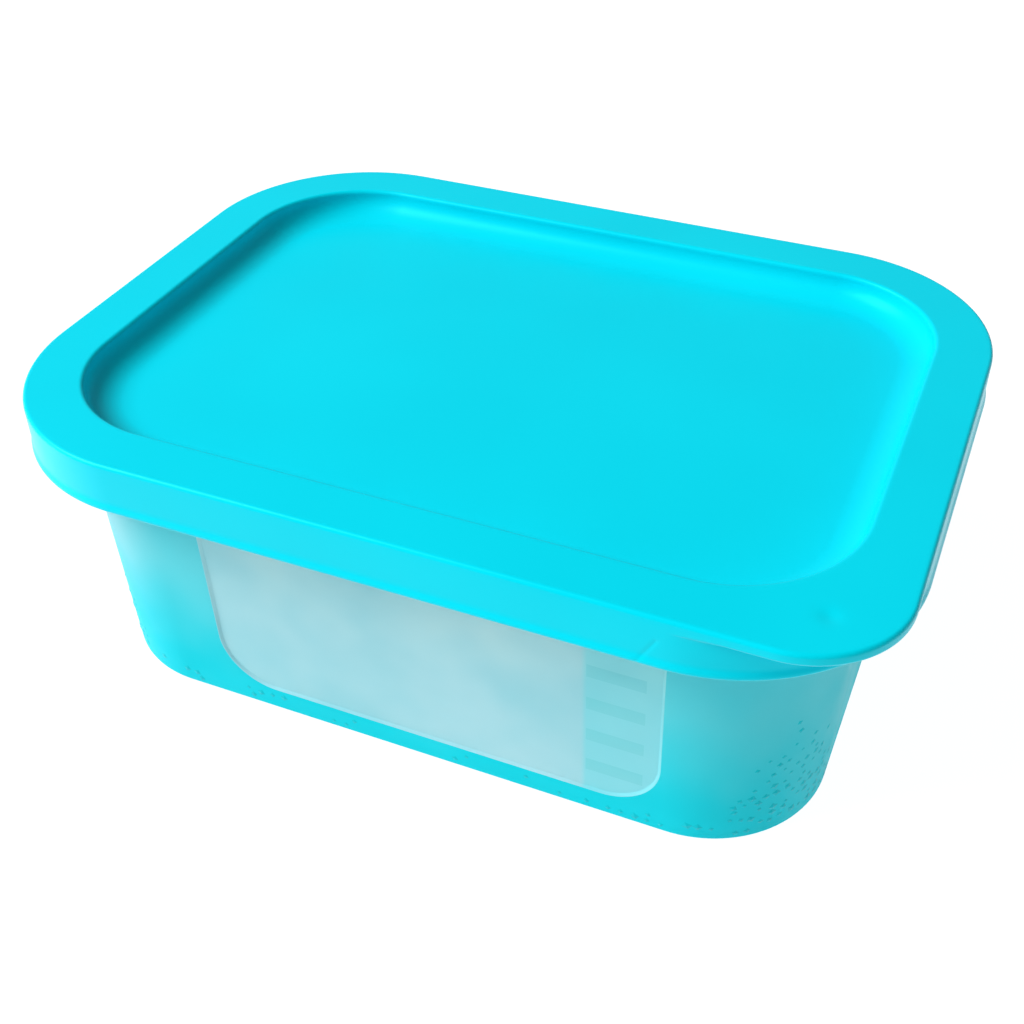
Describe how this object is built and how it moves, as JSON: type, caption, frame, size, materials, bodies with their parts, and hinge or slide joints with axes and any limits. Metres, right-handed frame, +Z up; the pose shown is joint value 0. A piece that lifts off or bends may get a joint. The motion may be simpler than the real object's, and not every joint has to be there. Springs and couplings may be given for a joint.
{
  "type": "freezer container",
  "caption": "Rectangular food box for the freezer: tapered frosted tub with a label window, and a press-on lid with a stacking recess and a lifting tab at one corner.",
  "frame": {"origin": "on the surface that the tub stands on, under the middle of the closed container", "axes": "+Z up, +X along the long side towards the end with the lifting tab, and the label window faces -Y"},
  "size_m": [0.1828, 0.1348, 0.066],
  "materials": {
    "tub_plastic": "frosted translucent aqua moulded plastic",
    "lid_plastic": "satin opaque turquoise moulded plastic"
  },
  "bodies": {
    "root": {"tub": "tub_plastic", "lid": "lid_plastic"}
  },
  "joints": []
}
